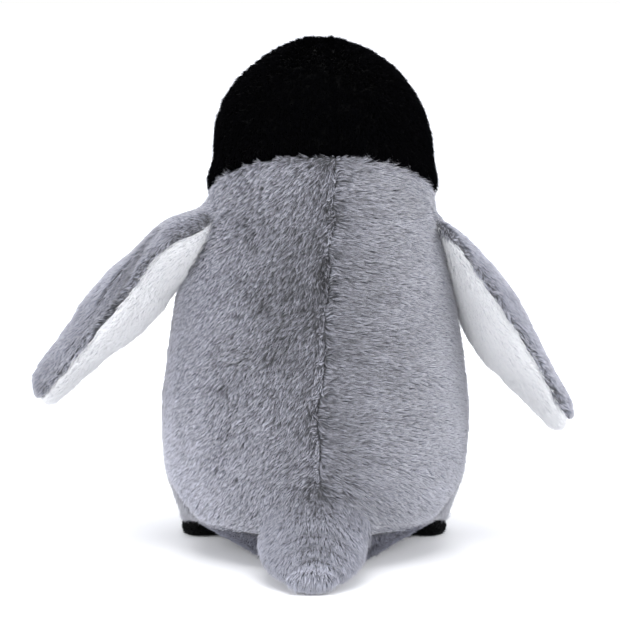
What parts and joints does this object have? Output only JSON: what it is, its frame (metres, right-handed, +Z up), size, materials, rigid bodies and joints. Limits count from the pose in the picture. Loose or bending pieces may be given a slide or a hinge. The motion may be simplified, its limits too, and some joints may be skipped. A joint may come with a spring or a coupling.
{
  "type": "plush penguin",
  "caption": "Standing stuffed penguin chick in grey, white and black plush, with two flippers and a tail that flex at their sewn roots.",
  "frame": {"origin": "centre of the flat base of the body, at the level of the surface that the toy stands on", "axes": "+Z up; the face looks along -Y and the tail lies along +Y; the penguin's own left side is +X"},
  "size_m": [0.298, 0.204, 0.28],
  "materials": {
    "grey_plush": "long soft pile, mid grey",
    "belly_plush": "soft pile, light silver grey",
    "base_plush": "short pile, dark grey",
    "white_plush": "soft pile, white",
    "black_plush": "long soft pile, black",
    "black_felt": "short pile, black",
    "eye_plastic": "polished black",
    "washer_plastic": "natural moulded",
    "pellet_plastic": "natural beads",
    "pouch_cloth": "plain woven",
    "stuffing": "loose polyester fibre",
    "thread": "spun polyester"
  },
  "bodies": {
    "body": {"back_panel_left": "grey_plush", "back_panel_right": "grey_plush", "belly_panel": "belly_plush", "base_gusset": "base_plush", "head_cap_left": "black_plush", "head_cap_right": "black_plush", "face_patch_left": "white_plush", "face_patch_right": "white_plush", "beak_upper": "black_felt", "beak_lower": "black_felt", "beak_stuffing": "stuffing", "eye_left": "eye_plastic", "eye_right": "eye_plastic", "eye_washer_left": "washer_plastic", "eye_washer_right": "washer_plastic", "body_stuffing": "stuffing", "pellet_pouch": "pouch_cloth", "pellets": "pellet_plastic", "closing_thread": "thread", "foot_left_upper": "black_felt", "foot_left_sole": "black_felt", "foot_left_stuffing": "stuffing", "foot_right_upper": "black_felt", "foot_right_sole": "black_felt", "foot_right_stuffing": "stuffing"},
    "flipper_left": {"flipper_left_outer": "grey_plush", "flipper_left_inner": "white_plush", "flipper_left_stuffing": "stuffing"},
    "flipper_right": {"flipper_right_outer": "grey_plush", "flipper_right_inner": "white_plush", "flipper_right_stuffing": "stuffing"},
    "tail": {"tail_upper": "grey_plush", "tail_lower": "base_plush", "tail_stuffing": "stuffing"}
  },
  "joints": [
    {"name": "flipper_left_flap", "type": "hinge", "parent": "body", "child": "flipper_left", "pos_m": [0.066, 0.004, 0.182], "axis": [-0.0652, -0.9962, -0.0579], "range_deg": [-11.6, 63.4], "stiffness_Nm_per_rad": 0.06},
    {"name": "flipper_right_flap", "type": "hinge", "parent": "body", "child": "flipper_right", "pos_m": [-0.066, -0.006, 0.182], "axis": [-0.1724, 0.9781, 0.1163], "range_deg": [-4, 71], "stiffness_Nm_per_rad": 0.06},
    {"name": "tail_lift", "type": "hinge", "parent": "body", "child": "tail", "pos_m": [0, 0.063, 0.022], "axis": [1, 0, 0], "range_deg": [0, 25], "stiffness_Nm_per_rad": 0.03}
  ]
}
